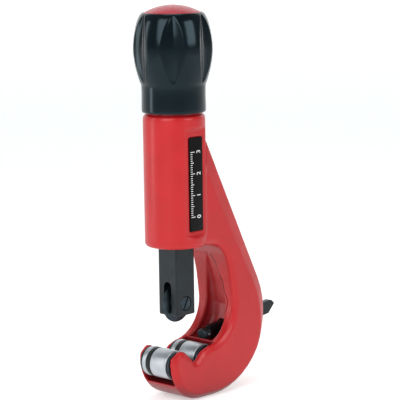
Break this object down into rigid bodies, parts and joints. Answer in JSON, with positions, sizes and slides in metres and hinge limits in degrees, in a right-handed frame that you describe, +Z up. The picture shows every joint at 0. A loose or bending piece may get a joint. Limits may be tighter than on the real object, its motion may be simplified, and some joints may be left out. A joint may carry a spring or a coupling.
{
  "type": "telescopic tube cutter",
  "caption": "Hand tube cutter: cast C frame with two support rollers, telescopic slide with a cutter wheel, fluted feed knob with a cap, and a push-out reamer.",
  "frame": {"origin": "midway between the two support roller axes, on the feed axis", "axes": "+Z up the feed axis towards the knob, the C opens towards -X, the label panel is on -Y"},
  "size_m": [0.0843, 0.0366, 0.1835],
  "materials": {
    "red_enamel": "glossy red enamel on a die casting",
    "label_black": "black printed plate",
    "knob_black": "glossy moulded black",
    "cap_red": "glossy moulded red",
    "black_steel": "black oxide",
    "dark_steel": "dark phosphate",
    "ground_steel": "ground, bright",
    "plain_steel": "zinc plated",
    "wheel_steel": "hardened tool steel",
    "bronze": "bearing bronze",
    "rubber": "black rubber band"
  },
  "bodies": {
    "frame_body": {"frame": "red_enamel", "label_plate": "label_black", "front_roller_pin": "plain_steel", "rear_roller_pin": "plain_steel", "front_near_washer": "dark_steel", "front_far_washer": "dark_steel", "rear_near_washer": "dark_steel", "rear_far_washer": "dark_steel", "feed_bush": "bronze", "lower_thrust_washer": "plain_steel", "upper_thrust_washer": "plain_steel", "reamer_ball": "plain_steel", "reamer_spring": "plain_steel", "reamer_plug": "dark_steel"},
    "knob_body": {"knob": "knob_black", "feed_screw": "plain_steel", "drive_pin": "plain_steel", "knob_screw": "plain_steel", "knob_washer": "plain_steel", "spare_cutter_wheel": "wheel_steel"},
    "cap_body": {"knob_cap": "cap_red"},
    "slide_body": {"slide": "black_steel", "wheel_axle_screw": "dark_steel"},
    "wheel_body": {"cutter_wheel": "wheel_steel"},
    "front_roller_body": {"front_roller": "ground_steel", "front_roller_band": "rubber"},
    "rear_roller_body": {"rear_roller": "ground_steel", "rear_roller_band": "rubber"},
    "reamer_body": {"reamer_blade": "black_steel", "reamer_button": "dark_steel", "reamer_rivet": "plain_steel"}
  },
  "joints": [
    {"name": "knob_turn", "type": "hinge", "parent": "frame_body", "child": "knob_body", "pos_m": [0, 0, 0.14], "axis": [0, 0, 1], "range_deg": [-2142, 2988]},
    {"name": "slide_feed", "type": "slide", "parent": "frame_body", "child": "slide_body", "axis": [0, 0, 1], "range_m": [-0.01191, 0.01661]},
    {"name": "wheel_spin", "type": "hinge", "parent": "slide_body", "child": "wheel_body", "pos_m": [0, 0, 0.0276], "axis": [0, 1, 0], "continuous": true},
    {"name": "front_roller_spin", "type": "hinge", "parent": "frame_body", "child": "front_roller_body", "pos_m": [-0.00915, 0, 0], "axis": [0, 1, 0], "continuous": true},
    {"name": "rear_roller_spin", "type": "hinge", "parent": "frame_body", "child": "rear_roller_body", "pos_m": [0.00915, 0, 0], "axis": [0, 1, 0], "continuous": true},
    {"name": "reamer_push", "type": "slide", "parent": "frame_body", "child": "reamer_body", "axis": [0.9903, 0, 0.1392], "range_m": [0, 0.008]},
    {"name": "cap_lift", "type": "slide", "parent": "knob_body", "child": "cap_body", "axis": [0, 0, 1], "range_m": [0, 0.012]}
  ],
  "couplings": [
    {"joint": "slide_feed", "follows": "knob_turn", "m_per_rad": 0.00031831}
  ]
}
